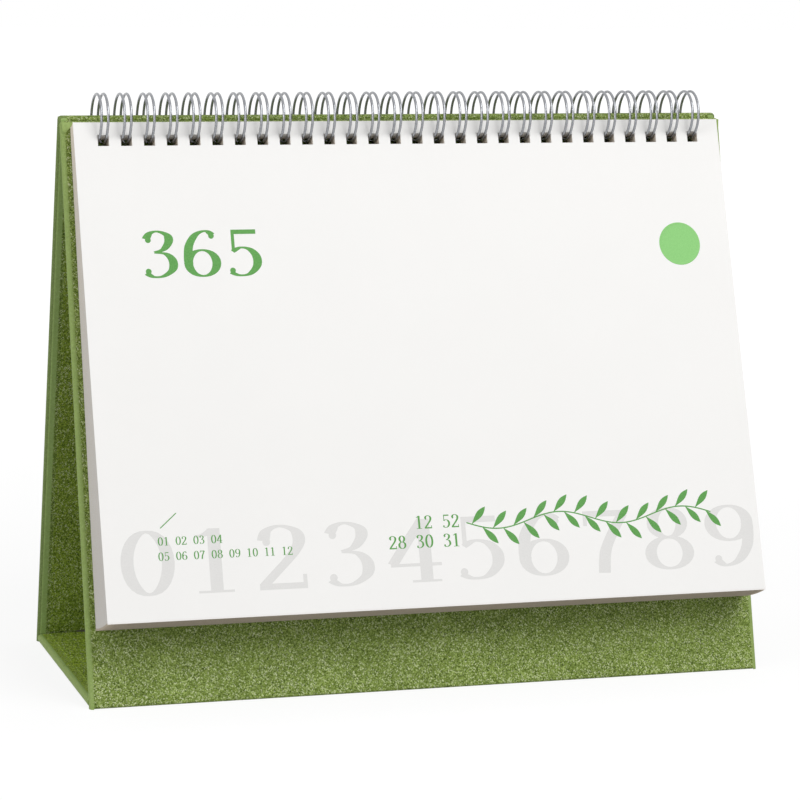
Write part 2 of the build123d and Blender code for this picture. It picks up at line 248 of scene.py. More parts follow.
def glitter_paper(name, tones, inner=NO_SIDE, inner_tones=flake_tones, inner_band=INNER_BAND,
                  ends=smooth_band_and_light_tones, inner_ends_and_light=inner_band_and_light_tones, reach=1.0):
    """Green paper with random flakes, some flakes and short strokes of it in a painted glint colour.
    It is smooth round the board's ends, whose tones are partly painted light, and on the back
    board painted shade. The part turned in on the inner side has tones and a smooth margin of its
    own; the margin, and the base's turned-in tones, are paler as painted light."""
    paper = Finish(name, Specular_IOR_Level=PAPER_GLOSS)
    drawn_out = {"Vector": paper.place, "Scale": (1, 1 / reach, 1)}
    paper.place = paper.add("Mapping", drawn_out).outputs["Vector"]
    towards = {0: paper.coordinates.outputs["Normal"], 1: inner}
    inward = paper.add("VectorMath", towards, operation="DOT_PRODUCT").outputs["Value"]
    inside = paper.spread(inward, *FACING_IN)

    flake_draws = random_cells(paper, paper.place, 1 / FLAKE)[1]
    fine, fine_draws = random_cells(paper, paper.place, 1 / FINE_FLAKE)
    tone = paper.math("MULTIPLY", paper.math("ADD", flake_draws["Red"], fine_draws["Red"]), 0.5)
    # Turned-in tones; on the base these are the paler lining tones, painted light.
    green = paper.mix(inside, paper.ramp(tone, tones), paper.ramp(tone, inner_tones))
    cloud = paper.spread(paper.noise(PAPER_CLOUD, detail=3.0), *NOISE_SPAN, *CLOUD_SHADES)
    green = paper.mix(1.0, green, cloud, "MULTIPLY")

    along = paper.add("SeparateXYZ", {"Vector": paper.place}).outputs["X"]
    margin = paper.math("MULTIPLY", inside, inner_band - BAND)
    edge = paper.math("ADD", paper.math("ABSOLUTE", along), margin)
    band = paper.spread(edge, *(easel_half - BAND + fade for fade in BAND_FADE))
    smooth = paper.math("MULTIPLY", band, BAND_COVER)
    face = paper.math("SUBTRACT", 1.0, smooth)
    # The band takes the end tones given: drawn paper with painted light, and on the back board's ends
    # painted shade.
    fibres = paper.noise(DRAWN_FIBRE, detail=3.0)
    flat = paper.spread(inward, *FLAT_IN)
    drawn = paper.mix(flat, paper.ramp(fibres, ends), paper.ramp(fibres, inner_ends_and_light))
    sheet = paper.mix(smooth, green, drawn)

    # Painted glints mixed into the base colour, kept off the smooth bands.
    glint_share = paper.math("MULTIPLY", face, GLINT_COVER)
    glint = paper.math("MULTIPLY", glints(paper, flake_draws), glint_share)
    paper.give("Base Color", paper.mix(glint, sheet, painted_glint_tone))
    paper.give("Roughness", paper.spread(glint, 0.0, 1.0, *PAPER_ROUGHNESS))
    flake_height = paper.math("MULTIPLY", fine.outputs["Distance"], face)
    paper.bump(flake_height, depth=0.05 * MM, strength=0.5)
    return paper.material


# The base's paper takes the paler lining tones, painted light, where it turns in on the top.
base_paper = glitter_paper("base_glitter_paper", flake_tones, (0, 0, 1), base_lining_and_light_tones, BAND)
cover_papers = {
    "front": glitter_paper("front_glitter_paper", flake_tones, (0, 1, 0)),
    # The back board's paper carries painted shade on its ends and painted light on its turned-in margin.
    "back": glitter_paper("back_glitter_paper", flake_tones, (0, -1, 0),
                          ends=back_band_and_shade_tones, inner_ends_and_light=back_inner_and_light_tones),
    "base_front": base_paper,
    "base_rear": base_paper,
}
lining_paper = glitter_paper("glitter_lining", lining_tones)
# The base's lining: a paler copy of the standing boards' lining, painted light.
base_lining_and_light = glitter_paper("base_glitter_lining_and_light", base_lining_and_light_tones, reach=BASE_FLAKE_REACH)
lining_papers = {panel: lining_paper if panel in STANDING else base_lining_and_light for panel in cover_papers}
for panel in cover_papers:
    dress(f"{panel}_cover_paper", cover_papers[panel])
    dress(f"{panel}_lining", lining_papers[panel])
    if panel not in STANDING:
        dress(f"{panel}_board", lining_paper)

# Lining ends: each lining is cut a little long, and runs on from its flat sheet to the fold at
# the foot of its board or to the cut end of the board itself.
CREASE_CLEAR = 0.95 * MM
FLUSH = 0.01 * MM
fold_anchors = {joint["name"]: Vector(joint["pos_m"]) for joint in frame["joints"]}
front_fold = fold_anchors["base_fold"]
rear_fold = fold_anchors["base_rear_fold"]
base_top = front_fold.z
base_middle = (front_fold.y + rear_fold.y) / 2


def new_piece(name, mesh_maker, material):
    """A mesh object made from a bmesh, with its finish."""
    mesh = bpy.data.meshes.new(name)
    bmesh.ops.recalc_face_normals(mesh_maker, faces=mesh_maker.faces)
    mesh_maker.to_mesh(mesh)
    mesh_maker.free()
    mesh.materials.append(material)
    piece = bpy.data.objects.new(name, mesh)
    bpy.context.scene.collection.objects.link(piece)
    return piece


def panel_run(panel):
    """The way along a panel's lining, square to the easel's width."""
    lining = nodes[f"{panel}_lining"].data
    corners = [vertex.co for vertex in lining.vertices]
    spans = [corners[edge.vertices[1]] - corners[edge.vertices[0]] for edge in lining.edges]
    run = max(spans, key=lambda span: math.hypot(span.y, span.z))
    return Vector((0, run.y, run.z)).normalized()


def lining_tail(name, panel, body, stop, clear):
    """Carries a lining on past its cut end, flush with it, until clear of a stop point."""
    corners = [vertex.co for vertex in nodes[f"{panel}_lining"].data.vertices]
    way = panel_run(panel)
    middle = sum(corners, Vector()) / len(corners)
    if (stop - middle).dot(way) < 0:
        way = -way
    end = max(spot.dot(way) for spot in corners)
    tail = bmesh.new()
    for spot in corners:
        if end - spot.dot(way) < FLUSH:
            tail.verts.new(spot)
            tail.verts.new(spot + way * (stop.dot(way) - end - clear))
    bmesh.ops.convex_hull(tail, input=tail.verts)
    piece = new_piece(name, tail, lining_papers[panel])
    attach(piece, body)


lining_tail("front_lining_foot", "front", "easel_front", front_fold, CREASE_CLEAR)
lining_tail("back_lining_foot", "back", "easel_back", rear_fold, CREASE_CLEAR)
lining_tail("base_front_lining_end", "base_front", "base_front", front_fold, CREASE_CLEAR)
lining_tail("base_rear_lining_end", "base_rear", "base_rear", rear_fold, CREASE_CLEAR)
front_board_end = Vector((0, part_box("base_front_board")[1].y, base_top))
rear_board_end = Vector((0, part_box("base_rear_board")[0].y, base_top))
lining_tail("base_front_lining_middle", "base_front", "base_front", front_board_end, FLUSH)
lining_tail("base_rear_lining_middle", "base_rear", "base_rear", rear_board_end, FLUSH)

# Corner tucks: the spare paper at the top corners of the standing boards, drawn smooth over the
# corner and pressed flat into a small triangle on the outer face. Outline in millimetres in from
# the end and down from the top, then rings of it by share of its size and lift off the face.
TUCK_OUTLINE = [(0.4, 0.8), (5.0, 0.8), (4.2, 2.0), (3.0, 3.4), (1.7, 4.7), (0.7, 4.4)]
TUCK_MIDDLE = (2.3, 2.4)
TUCK_STEPS = [(1.0, -0.15), (1.0, 0.1), (0.9, 0.2), (0.6, 0.25)]
# The tucks take the ends' band tones: drawn paper, partly painted light.
drawn_paper_and_light = Finish("drawn_paper_and_light", Specular_IOR_Level=PAPER_GLOSS, Roughness=0.55)
drawn_fibres = drawn_paper_and_light.noise(DRAWN_FIBRE, detail=3.0)
drawn_paper_and_light.give("Base Color", drawn_paper_and_light.ramp(drawn_fibres, smooth_band_and_light_tones))
drawn_paper_and_light.bump(drawn_fibres, depth=0.05 * MM, strength=0.4)


def loft(maker, rings):
    """Closes a skin over rings of points, each ring with as many points."""
    made = [[maker.verts.new(point) for point in ring] for ring in rings]
    count = len(made[0])
    for first, second in zip(made, made[1:]):
        for spot in range(count):
            follow = (spot + 1) % count
            maker.faces.new((first[spot], first[follow], second[follow], second[spot]))
    maker.faces.new(made[0])
    maker.faces.new(made[-1])


for panel, body, facing in (("front", "easel_front", 1), ("back", "easel_back", -1)):
    skin = [vertex.co for vertex in nodes[f"{panel}_cover_paper"].data.vertices]
    run = panel_run(panel)
    up = run if run.z > 0 else -run
    out = Vector((0, -up.z, up.y)) * facing
    top = max(spot.dot(up) for spot in skin)
    face = max(spot.dot(out) for spot in skin)
    for end, side in (("left", -1), ("right", 1)):
        rings = []
        for share, lift in TUCK_STEPS:
            ring = []
            for inset, down in TUCK_OUTLINE:
                x = easel_half - (TUCK_MIDDLE[0] + (inset - TUCK_MIDDLE[0]) * share) * MM
                level = top - (TUCK_MIDDLE[1] + (down - TUCK_MIDDLE[1]) * share) * MM
                ring.append(Vector((side * x, 0, 0)) + up * level + out * (face + lift * MM))
            rings.append(ring)
        tuck_maker = bmesh.new()
        loft(tuck_maker, rings)
        tuck = new_piece(f"{panel}_{end}_corner_tuck", tuck_maker, drawn_paper_and_light.material)
        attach(tuck, body)

# Creases: strips of the covering paper that run round the feet of the standing boards and
# join them to the base, glued flat on both sides of each fold.
dress("front_crease", cover_papers["front"])
dress("rear_crease", cover_papers["back"])

# Middle crease: the base folds here, so the paper is drawn down between its two boards. Each
# half fills its own board's bevel and rides with that board as the base folds up.
CREASE_LAP = 0.01 * MM
CREASE_NOTCH = 0.7 * MM
CREASE_INSET = 0.02 * MM
BEVEL_CLEAR = 0.4 * MM
PANEL_ROUND = 1.5 * MM
ROUND_STEPS = 6


def end_profile(half, low, high):
    """Section (x, z) of a panel with rounded ends, from its lower left corner round."""
    corners = [(-1, low, 180), (1, low, 270), (1, high, 0), (-1, high, 90)]
    profile = []
    for side, level, turn in corners:
        middle_x = side * (half - PANEL_ROUND)
        middle_z = level + PANEL_ROUND if level == low else level - PANEL_ROUND
        for step in range(ROUND_STEPS + 1):
            angle = math.radians(turn + 90 * step / ROUND_STEPS)
            x = middle_x + PANEL_ROUND * math.cos(angle)
            profile.append((x, middle_z + PANEL_ROUND * math.sin(angle)))
    return profile


crease_section = end_profile(easel_half - CREASE_INSET, CREASE_INSET, base_top - CREASE_INSET)
notch_floor = base_top - CREASE_NOTCH
for body, fold, side in (("base_front", "base_fold", -1), ("base_rear", "base_rear_fold", 1)):
    board_low, board_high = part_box(f"{body}_board")
    board_end = board_high.y if side < 0 else board_low.y
    shoulder_y = base_middle + side * CREASE_NOTCH
    lip_y = base_middle - side * CREASE_LAP
    bevel = [(x, board_end + side * (base_top - z + BEVEL_CLEAR), z) for x, z in crease_section]
    shoulder = [(x, shoulder_y, z) for x, z in crease_section]
    lip = [(x, lip_y, min(z, notch_floor)) for x, z in crease_section]
    crease_maker = bmesh.new()
    loft(crease_maker, [bevel, shoulder, lip])
    crease_half = new_piece(f"mid_crease_{body}", crease_maker, cover_papers[body])
    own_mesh(crease_half)
    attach(crease_half, body)
    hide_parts("mid_crease")

# Binding wire: one nickel-plated steel wire, bent into twin loops at three to the inch and
# closed through the punched holes. Its spine and tips lie hidden between the boards. It has
# some play in the holes, so it leans, hangs low and slopes along the easel.
LOOP_PITCH = 25.4 / 3 * MM
LOOP_COUNT = 28
LOOP_RADIUS = 9.0 * MM
WIRE_DIAMETER = 1.0 * MM
WIRE_FACETS = 4
TWIN_LEG = 2.44 / 2 * MM
SPINE_BEND = 1.1 * MM
SPINE_ANGLE = 21.0
TIP_ANGLE = 45.5
LOOP_STEPS = 72
BEND_STEPS = 6
LEAN = 1.6
LEAN_SPREAD = 0.1
LEAN_SEED = 7
SIDE_PLAY = -0.22 * MM
HANG = -0.16 * MM
SLOPE = 0.002
DRAW_MARK = 0.5 * MM
NICKEL_ROUGHNESS = (0.14, 0.26)
loop_axis = fold_anchors["cover_turn"]
random.seed(LEAN_SEED)


def on_loop(x, angle, reach=0.0):
    """A point of the loop at this angle from straight down, moved on by reach to the back."""
    turn = math.radians(angle)
    y = loop_axis.y + LOOP_RADIUS * math.sin(turn) + reach * math.cos(turn)
    z = loop_axis.z - LOOP_RADIUS * math.cos(turn) + reach * math.sin(turn)
    return Vector((x, y, z))


def twin_loop(centre):
    """Points of one twin loop: spine, round to the tip, and back to the spine."""
    turn_total = 360 - (TIP_ANGLE - SPINE_ANGLE)
    angles = [SPINE_ANGLE - turn_total * step / LOOP_STEPS for step in range(LOOP_STEPS + 1)]
    half = []
    for step in range(BEND_STEPS):
        turn = math.pi / 2 * step / BEND_STEPS
        x = -TWIN_LEG - SPINE_BEND * (1 - math.sin(turn))
        half.append(on_loop(x, SPINE_ANGLE, SPINE_BEND * math.cos(turn)))
    half += [on_loop(-TWIN_LEG, angle) for angle in angles]
    for step in range(1, BEND_STEPS + 1):
        turn = math.pi / 2 * step / BEND_STEPS
        half.append(on_loop(-TWIN_LEG * math.cos(turn), TIP_ANGLE, -TWIN_LEG * math.sin(turn)))
    mirrored = [Vector((-spot.x, spot.y, spot.z)) for spot in reversed(half[:-1])]
    lean = math.tan(math.radians(LEAN + random.uniform(-LEAN_SPREAD, LEAN_SPREAD)))
    foot = loop_axis.z - LOOP_RADIUS
    placed = []
    for spot in half + mirrored:
        x = centre + SIDE_PLAY + spot.x + lean * max(0.0, spot.z - foot)
        placed.append(Vector((x, spot.y, spot.z + HANG + SLOPE * x)))
    return placed


wire_points = []
for number in range(LOOP_COUNT):
    wire_points += twin_loop((number - (LOOP_COUNT - 1) / 2) * LOOP_PITCH)
wire_line = bpy.data.curves.new("binding_wire_loops", "CURVE")
wire_line.dimensions = "3D"
wire_line.bevel_depth = WIRE_DIAMETER / 2
wire_line.bevel_resolution = WIRE_FACETS
wire_line.use_fill_caps = True
wire_spline = wire_line.splines.new("POLY")
wire_spline.points.add(len(wire_points) - 1)
for spline_point, spot in zip(wire_spline.points, wire_points):
    spline_point.co = (*spot, 1.0)
wire_spline.use_smooth = True
nickel = Finish("nickel_wire", Metallic=0.75)
draw_marks = nickel.noise(DRAW_MARK, detail=3.0)
nickel_tones = mottle((140, 142, 146), (168, 170, 174))
nickel.give("Base Color", nickel.ramp(draw_marks, nickel_tones))
nickel.give("Roughness", nickel.spread(draw_marks, *NOISE_SPAN, *NICKEL_ROUGHNESS))
wire_line.materials.append(nickel.material)
wire_piece = bpy.data.objects.new("binding_wire_loops", wire_line)
bpy.context.scene.collection.objects.link(wire_piece)
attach(wire_piece, "easel_front")
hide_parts("binding_wire")

# Leaves: sixteen sheets of smooth uncoated card, cut in one stack and punched with the row of
# square holes. Their cut edges are duller than their faces, partly as painted shade between the
# fanned leaves, and their feet carry painted shade where the leaf in front hangs over them.
CARD_FIBRE = 0.25 * MM
CARD_CLOUD = 30 * MM
CUT_SIDE = (0.6, 0.5)
SHADED_FOOT = (0.003, 0.006)
MONTHS = [f"month_leaf_{number:02d}" for number in range(1, 13)]
card_tones = mottle((247, 246, 244), (248, 247, 245))


def leaf_card(name, gloss, side_tones, foot_shade_tones):
    """Smooth white card with the given tones on its cut sides, partly painted shade, and painted shade
    along its foot.
    """
    card = Finish(name, Roughness=0.75, Specular_IOR_Level=gloss)
    fibres = card.noise(CARD_FIBRE, detail=4.0, roughness=0.65)
    flat = card.ramp(card.noise(CARD_CLOUD), card_tones)
    normal = card.add("SeparateXYZ", {"Vector": card.coordinates.outputs["Normal"]})
    sides = card.spread(card.math("ABSOLUTE", normal.outputs["Y"]), *CUT_SIDE)
    height = card.add("SeparateXYZ", {"Vector": card.coordinates.outputs["Generated"]})
    # Painted shade along the lowest trace of the leaf, under the leaf in front.
    foot = card.spread(height.outputs["Z"], *SHADED_FOOT, 1.0, 0.0)
    sheet = card.mix(sides, flat, card.ramp(fibres, side_tones))
    card.give("Base Color", card.mix(foot, sheet, card.ramp(fibres, foot_shade_tones)))
    card.bump(fibres, depth=0.02 * MM, strength=0.35)
    return card.material


inner_card = leaf_card("inner_leaf_card", gloss=0.0,
                       side_tones=mottle((226, 213, 195), (244, 233, 218)),
                       foot_shade_tones=mottle((200, 187, 168), (222, 210, 193)))
outer_card = leaf_card("outer_leaf_card", gloss=0.5,
                       side_tones=mottle((232, 229, 225), (242, 240, 237)),
                       foot_shade_tones=mottle((240, 238, 235), (248, 246, 244)))
for leaf in ("back_leaf", "planner_leaf", *MONTHS, "title_leaf"):
    dress(leaf, inner_card)
dress("cover_leaf", outer_card)

# Cover print: a row of figures in pale grey ink, and plain numbers in hot-stamped green foil: the
# days of a year, the months, the weeks and the lengths of months. Both films are thinner than
# the card that carries them.
INK_FILM = 0.004 * MM
INK_GRAIN = 0.4 * MM
FOIL_FILM = 0.02 * MM
FOIL_GRAIN = 0.3 * MM
OVERPRINT = 0.0015 * MM
OVERPRINTS = 7
THIN_STROKE = 0.04
THICK_STROKE = 0.125
BALL = 0.062
BALL_STEPS = 12
OVAL_STEPS = 28
NUMERAL_STEP = 0.53
FIGURE_STRETCH = 1.2
FIGURE_GAP = 0.08
FIGURE_STEPS = 6
MIDDLE_STEPS = 4
SMALL_STEPS = 3


def round_points(x, y, across, up, count):
    """Points round an oval."""
    turns = [2 * math.pi * step / count for step in range(count)]
    return [(x + across * math.cos(turn), y + up * math.sin(turn)) for turn in turns]


class Print:
    """Flat printed shapes on one leaf's face, placed in millimetres right of its middle and
    down from its top edge."""

    def __init__(self, leaf, film):
        corners = [vertex.co for vertex in nodes[leaf].data.vertices]
        top = max(corners, key=lambda spot: spot.z)
        low = min(corners, key=lambda spot: spot.y)
        self.origin = Vector((0, top.y, top.z))
        self.down = Vector((0, low.y - top.y, low.z - top.z)).normalized()
        self.out = Vector((1, 0, 0)).cross(-self.down)
        self.leaf = leaf
        self.film = film
        self.maker = bmesh.new()
        self.strokes = 0

    def thickness(self):
        """Each new stroke lies a trace higher, so that it covers those that it crosses."""
        self.strokes += 1
        return self.film + OVERPRINT * (self.strokes % OVERPRINTS)

    def place(self, spot, lift):
        """The point in space of a spot on the page, lifted off the card."""
        flat = Vector((spot[0] * MM, 0, 0)) + self.down * (spot[1] * MM)
        return self.origin + flat + self.out * lift

    def corner(self, spot, lift):
        """A new mesh corner at that point."""
        return self.maker.verts.new(self.place(spot, lift))

    def patch(self, outline):
        """A printed area with this outline."""
        thickness = self.thickness()
        low = [self.corner(spot, 0.0) for spot in outline]
        high = [self.corner(spot, thickness) for spot in outline]
        self.maker.faces.new(low)
        self.maker.faces.new(high)
        for spot in range(len(outline)):
            follow = (spot + 1) % len(outline)
            self.maker.faces.new((low[spot], low[follow], high[follow], high[spot]))

    def ribbon(self, pairs, closed=False):
        """A printed stroke between two edges, given as pairs of points along it."""
        thickness = self.thickness()
        rows = []
        for left, right in pairs:
            corners = ((left, 0.0), (left, thickness), (right, thickness), (right, 0.0))
            rows.append([self.corner(spot, lift) for spot, lift in corners])
        followers = rows[1:] + rows[:1] if closed else rows[1:]
        for first, second in zip(rows, followers):
            for spot in range(4):
                follow = (spot + 1) % 4
                self.maker.faces.new((first[spot], first[follow], second[follow], second[spot]))
        if not closed:
            self.maker.faces.new(rows[0])
            self.maker.faces.new(rows[-1])

    def block(self, left, top, right, low):
        """A printed rectangle."""
        self.patch([(left, top), (right, top), (right, low), (left, low)])

    def rule(self, start, end, width):
        """A straight printed line."""
        way = Vector((end[0] - start[0], end[1] - start[1])).normalized()
        side = Vector((-way.y, way.x)) * (width / 2)
        ends = [Vector(start), Vector(end)]
        self.ribbon([(spot + side, spot - side) for spot in ends])

    def finish(self, name, material):
        """Makes the printed piece and lets it ride on its leaf."""
        piece = new_piece(name, self.maker, material)
        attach(piece, self.leaf)


def turned(points):
    """The same strokes upside down."""
    return [(NUMERAL_STEP - x, 1 - y) for x, y in points]


def oval(x, y, across, up):
    """An oval stroke of a numeral."""
    return round_points(x, y, across, up, OVAL_STEPS)


# Strokes of the numerals in a unit box, baseline at 0: open curves, ovals, bars (left, right,
# low, high) and ball ends.
SIX_STEM = [(0.43, 0.89), (0.33, 0.975), (0.19, 0.90), (0.09, 0.68), (0.065, 0.42), (0.07, 0.28)]
SIX_BOWL = oval(0.265, 0.295, 0.2, 0.275)
SIX_BALLS = [(0.41, 0.87)]
TWO_STEM = [(0.08, 0.76), (0.12, 0.91), (0.25, 0.98), (0.40, 0.90), (0.435, 0.73), (0.36, 0.53),
            (0.20, 0.28), (0.06, 0.07)]
THREE_TOP = [(0.08, 0.82), (0.14, 0.94), (0.25, 0.98), (0.38, 0.90), (0.40, 0.76), (0.32, 0.60),
             (0.19, 0.535)]
THREE_FOOT = [(0.19, 0.535), (0.35, 0.50), (0.44, 0.36), (0.43, 0.17), (0.30, 0.035),
              (0.16, 0.02), (0.06, 0.10)]
FIVE_BOWL = [(0.105, 0.53), (0.22, 0.61), (0.35, 0.57), (0.44, 0.42), (0.44, 0.22), (0.33, 0.05),
             (0.18, 0.02), (0.06, 0.09)]
NUMERALS = {
    "0": {"ovals": [oval(0.265, 0.5, 0.20, 0.48)]},
    "1": {"curves": [[(0.26, 0.99), (0.26, 0.02)], [(0.25, 0.97), (0.17, 0.90), (0.08, 0.87)]],
          "bars": [(0.08, 0.43, 0.0, 0.035)]},
    "2": {"curves": [TWO_STEM], "bars": [(0.015, 0.49, 0.0, 0.095), (0.45, 0.49, 0.09, 0.22)],
          "balls": [(0.11, 0.74)]},
    "3": {"curves": [THREE_TOP, THREE_FOOT], "balls": [(0.11, 0.80), (0.09, 0.135)]},
    "4": {"curves": [[(0.36, 0.98), (0.19, 0.63), (0.03, 0.29)], [(0.37, 0.99), (0.37, 0.02)]],
          "bars": [(0.01, 0.53, 0.25, 0.30), (0.22, 0.52, 0.0, 0.035)]},
    "5": {"curves": [FIVE_BOWL], "bars": [(0.095, 0.45, 0.90, 0.995), (0.095, 0.14, 0.53, 0.91)],
          "balls": [(0.09, 0.125)]},
    "6": {"curves": [SIX_STEM], "ovals": [SIX_BOWL], "balls": SIX_BALLS},
    "7": {"curves": [[(0.46, 0.93), (0.34, 0.63), (0.25, 0.34), (0.22, 0.0)]],
          "bars": [(0.04, 0.49, 0.90, 0.995), (0.04, 0.08, 0.76, 0.91)]},
    "8": {"ovals": [oval(0.265, 0.75, 0.155, 0.23), oval(0.265, 0.27, 0.20, 0.25)]},
    "9": {"curves": [turned(SIX_STEM)], "ovals": [turned(SIX_BOWL)], "balls": turned(SIX_BALLS)},
}


def smooth_path(points, steps):
    """Points on the smooth curve through the given ones."""
    spots = [Vector(point) for point in points]
    last = len(spots) - 1
    path = []
    for number in range(last):
        before, start = spots[max(number - 1, 0)], spots[number]
        end, after = spots[number + 1], spots[min(number + 2, last)]
        for step in range(steps):
            t = step / steps
            bend = (2 * before - 5 * start + 4 * end - after) * t**2
            twist = (3 * start - before - 3 * end + after) * t**3
            path.append((2 * start + (end - before) * t + bend + twist) / 2)
    return path + [spots[-1]]


def stroke_edges(path, closed):
    """Pairs of edge points: the stroke is thick where it runs upright and thin where level."""
    pairs = []
    count = len(path)
    for number, spot in enumerate(path):
        before = path[number - 1] if closed or number else path[0]
        after = path[(number + 1) % count] if closed or number < count - 1 else path[-1]
        way = (Vector(after) - Vector(before)).normalized()
        half = (THIN_STROKE + (THICK_STROKE - THIN_STROKE) * way.y**2) / 2
        side = Vector((-way.y, way.x)) * half
        pairs.append((Vector(spot) + side, Vector(spot) - side))
    return pairs


def numeral(page, figure, left, base, height, stretch, steps):
    """One figure on a page, its foot at (left, base) and its height in millimetres."""
    def placed(spot):
        return left + spot[0] * height * stretch, base - spot[1] * height

    shape = NUMERALS[figure]
    for points in shape.get("curves", []):
        edges = stroke_edges(smooth_path(points, steps), False)
        page.ribbon([(placed(a), placed(b)) for a, b in edges])
    for points in shape.get("ovals", []):
        edges = stroke_edges(points, True)
        page.ribbon([(placed(a), placed(b)) for a, b in edges], True)
    for x_low, x_high, y_low, y_high in shape.get("bars", []):
        page.block(*placed((x_low, y_high)), *placed((x_high, y_low)))
    for spot in shape.get("balls", []):
        page.patch(round_points(*placed(spot), BALL * height, BALL * height, BALL_STEPS))


def figures(page, text, left, base, height, stretch=FIGURE_STRETCH, gap=FIGURE_GAP, steps=FIGURE_STEPS):
    """A row of figures, and spaces, from left to right."""
    for figure in text:
        if figure != " ":
            numeral(page, figure, left, base, height, stretch, steps)
        left += height * (NUMERAL_STEP * stretch + gap)


def stamped_foil(name, metallic, tones, roughness):
    """Thin metal foil, pressed on hot, with a fine grain."""
    foil = Finish(name, Metallic=metallic, Specular_IOR_Level=0.3)
    grain = foil.noise(FOIL_GRAIN, detail=3.0, roughness=0.6)
    foil.give("Base Color", foil.ramp(grain, tones))
    foil.give("Roughness", foil.spread(grain, *NOISE_SPAN, *roughness))
    foil.bump(grain, depth=0.01 * MM, strength=0.4)
    return foil.material


def printing_ink(name, tones):
    """Matt ink with a faint grain."""
    ink = Finish(name, Roughness=0.6)
    ink.give("Base Color", ink.ramp(ink.noise(INK_GRAIN), tones))
    return ink.material


green_foil = stamped_foil("green_foil", 0.15, mottle((66, 128, 52), (104, 168, 88)), (0.42, 0.58))
pale_ink = printing_ink("pale_grey_ink", mottle((224, 223, 221), (229, 228, 226)))

cover_ink = Print("cover_leaf", INK_FILM)
figures(cover_ink, "0123456789", left=-119.0, base=172.2, height=23.2, stretch=1.6, gap=0.215)
cover_ink.finish("cover_figure_row", pale_ink)

cover_foil = Print("cover_leaf", FOIL_FILM)
figures(cover_foil, "365", left=-103.5, base=57.8, height=17.4, stretch=1.5, gap=0.1)
cover_foil.rule(start=(-103.8, 148.4), end=(-97.7, 143.2), width=0.35)
figures(cover_foil, "01 02 03 04", left=-105.0, base=154.6, height=3.0, steps=SMALL_STEPS)
figures(cover_foil, "05 06 07 08 09 10 11 12", left=-105.2, base=160.0, height=3.0, steps=SMALL_STEPS)
figures(cover_foil, "12 52", left=-9.5, base=152.8, height=4.8, steps=MIDDLE_STEPS)
figures(cover_foil, "28 30 31", left=-20.0, base=159.8, height=4.8, steps=MIDDLE_STEPS)

# Cover sprig: a waving stem with small leaves on both sides by turns, a common ornament, stamped
# in the same pass and the same foil as the numbers.
SPRIG_START = 10.0
SPRIG_LENGTH = 96.0
SPRIG_DOWN = 151.3
SPRIG_SWAY = 2.6
SPRIG_WAVES = 2
SPRIG_LEAVES = 24
STEM_WIDTH = 0.45
STEM_STEPS = 60
LEAFLET_LENGTH = 8.4
LEAFLET_WIDTH = 2.3
LEAFLET_STALK = 0.06
LEAFLET_SWELL = 1.3
LEAFLET_ANGLE = 48
LEAFLET_STEPS = 8


def stem_at(share):
    """A point of the printed sprig's waving stem."""
    sway = SPRIG_SWAY * math.sin(2 * math.pi * SPRIG_WAVES * share)
    return Vector((SPRIG_START + SPRIG_LENGTH * share, SPRIG_DOWN + sway))


stem = [stem_at(step / STEM_STEPS) for step in range(STEM_STEPS + 1)]
across_stem = Vector((0, STEM_WIDTH / 2))
cover_foil.ribbon([(spot - across_stem, spot + across_stem) for spot in stem])
for number in range(SPRIG_LEAVES):
    foot = stem_at((number + 0.5) / SPRIG_LEAVES)
    turn = math.radians(LEAFLET_ANGLE if number % 2 else -LEAFLET_ANGLE)
    way = Vector((math.cos(turn), math.sin(turn)))
    across = Vector((-way.y, way.x))
    leaflet = []
    for step in range(LEAFLET_STEPS + 1):
        share = step / LEAFLET_STEPS
        half = LEAFLET_STALK + LEAFLET_WIDTH / 2 * math.sin(math.pi * share**LEAFLET_SWELL)
        spine = foot + way * LEAFLET_LENGTH * share
        leaflet.append((spine - across * half, spine + across * half))
    cover_foil.ribbon(leaflet)
cover_foil.finish("cover_foil_print", green_foil)

# Cover disc: a plain round of paler foil near the upper right corner, pressed on so that its rim
# stands up a trace. Its profile is in millimetres, radius and lift.
DISC_CENTRE = (104.7, 48.6)
DISC_PROFILE = [(8.25, 0.0), (8.15, 0.06), (7.95, 0.075), (7.6, 0.05), (7.2, 0.02)]
DISC_STEPS = 64
pale_foil = stamped_foil("pale_green_foil", 0.1, mottle((126, 190, 108), (144, 204, 126)), (0.45, 0.6))
cover_disc = Print("cover_leaf", FOIL_FILM)
disc_rings = []
for radius, lift in DISC_PROFILE:
    rim = round_points(*DISC_CENTRE, radius, radius, DISC_STEPS)
    disc_rings.append([cover_disc.place(spot, lift * MM) for spot in rim])
loft(cover_disc.maker, disc_rings)
cover_disc.finish("cover_foil_disc", pale_foil)

